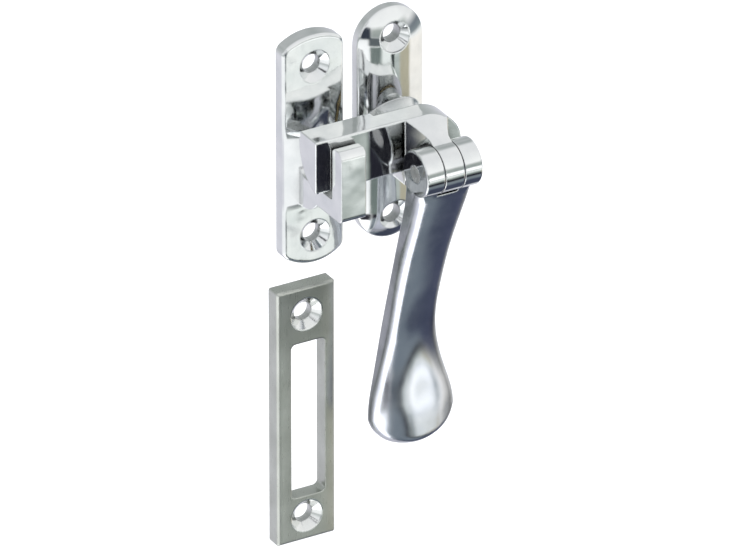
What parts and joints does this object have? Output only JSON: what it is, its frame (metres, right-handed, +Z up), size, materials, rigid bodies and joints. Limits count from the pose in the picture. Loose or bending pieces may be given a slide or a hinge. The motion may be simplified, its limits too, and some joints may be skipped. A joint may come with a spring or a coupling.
{
  "type": "casement window fastener",
  "caption": "Casement window fastener with a turning nose, a hinged spoon handle, a hook plate and a slotted mortice plate.",
  "frame": {"origin": "where the spindle's axis meets the back of the backplate, midway between its screw holes", "axes": "+Z up the window stile, along the plates; -Y out of the window into the room; +X towards the hinge side of the sash, away from the hook"},
  "size_m": [0.041, 0.0316, 0.1293],
  "materials": {
    "polished_chrome": "mirror polished",
    "satin_chrome": "satin, fine lengthwise polishing marks",
    "satin_nickel": "satin",
    "steel": "turned, bright",
    "brass": "rolled, plain"
  },
  "bodies": {
    "fixed_plate": {"backplate": "polished_chrome", "friction_washer": "brass", "spring_washer": "steel"},
    "turning_lever": {"lever": "polished_chrome", "spindle": "steel", "retaining_washer": "steel"},
    "swing_handle": {"handle": "satin_chrome", "hinge_pin": "steel"},
    "hook_keep": {"hook_plate": "polished_chrome"},
    "mortice_keep": {"mortice_plate": "satin_nickel"}
  },
  "joints": [
    {"name": "lever_turn", "type": "hinge", "parent": "fixed_plate", "child": "turning_lever", "pos_m": [0, 0, 0], "axis": [0, 1, 0], "range_deg": [0, 38]},
    {"name": "handle_swing", "type": "hinge", "parent": "turning_lever", "child": "swing_handle", "pos_m": [0, -0.026, -0.00075], "axis": [-1, 0, 0], "range_deg": [0, 120]},
    {"name": "hook_plate_slide", "type": "slide", "parent": "fixed_plate", "child": "hook_keep", "axis": [-1, 0, 0], "range_m": [0, 0.03]},
    {"name": "mortice_plate_slide", "type": "slide", "parent": "fixed_plate", "child": "mortice_keep", "axis": [-1, 0, 0], "range_m": [0, 0.03]}
  ]
}
